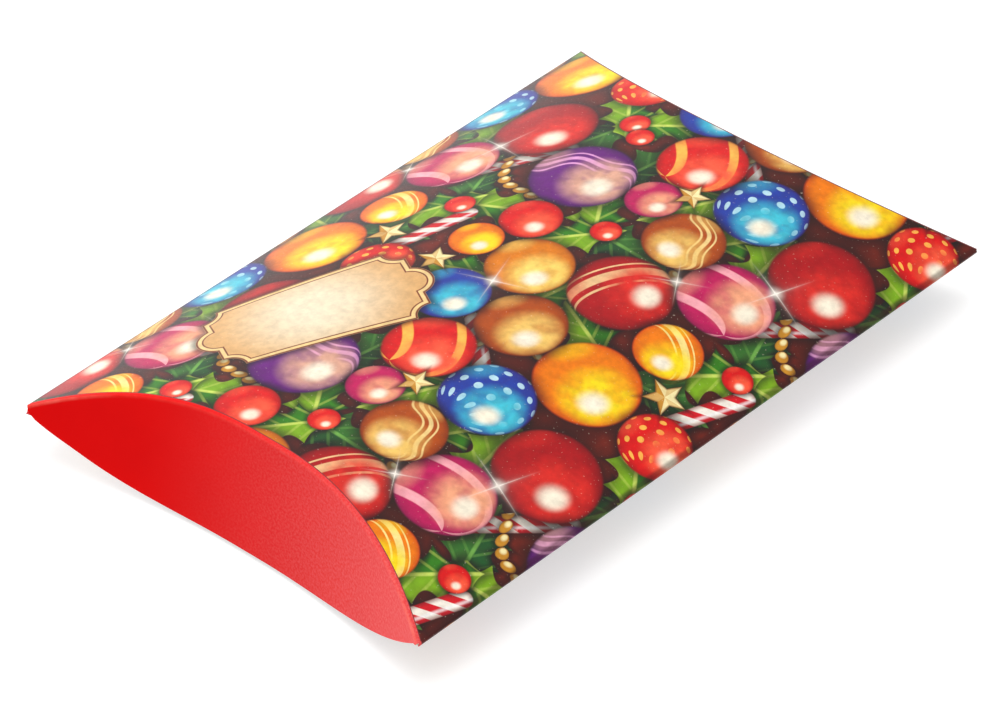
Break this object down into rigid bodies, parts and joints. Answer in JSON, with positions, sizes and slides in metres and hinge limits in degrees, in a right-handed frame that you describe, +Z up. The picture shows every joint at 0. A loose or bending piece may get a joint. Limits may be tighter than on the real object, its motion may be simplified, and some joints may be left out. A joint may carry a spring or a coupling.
{
  "type": "folding gift box",
  "caption": "Pillow-shaped folding gift box of printed paperboard: two bowed panels joined by side folds and a glued seam, with a hinged outer and inner flap on curved scores at each end.",
  "frame": {"origin": "on the surface the box rests on, under the middle of the box", "axes": "+X across the width, towards the plain side fold; +Y along the length, away from the end shown in the picture; +Z up"},
  "size_m": [0.074, 0.11, 0.017],
  "materials": {
    "printed_board": "gloss",
    "red_board": "satin",
    "bare_board": "matte",
    "glue": "satin"
  },
  "bodies": {
    "sleeve": {"top_panel": "printed_board", "bottom_panel": "printed_board", "right_fold": "printed_board", "seam_fold": "printed_board", "glue_flap": "bare_board", "glue_line": "glue"},
    "front_outer": {"front_outer_flap": "red_board"},
    "front_inner": {"front_inner_flap": "red_board"},
    "back_outer": {"back_outer_flap": "red_board"},
    "back_inner": {"back_inner_flap": "red_board"}
  },
  "joints": [
    {"name": "front_outer_score", "type": "hinge", "parent": "sleeve", "child": "front_outer", "pos_m": [0, -0.04516, 0.017], "axis": [-1, 0, 0], "range_deg": [0, 110]},
    {"name": "front_inner_score", "type": "hinge", "parent": "sleeve", "child": "front_inner", "pos_m": [0, -0.04516, 0], "axis": [1, 0, 0], "range_deg": [0, 88]},
    {"name": "back_outer_score", "type": "hinge", "parent": "sleeve", "child": "back_outer", "pos_m": [0, 0.04516, 0.017], "axis": [1, 0, 0], "range_deg": [0, 110]},
    {"name": "back_inner_score", "type": "hinge", "parent": "sleeve", "child": "back_inner", "pos_m": [0, 0.04516, 0], "axis": [-1, 0, 0], "range_deg": [0, 88]}
  ],
  "couplings": [
    {"joint": "front_inner_score", "follows": "front_outer_score", "ratio": 0.8},
    {"joint": "back_inner_score", "follows": "back_outer_score", "ratio": 0.8}
  ]
}
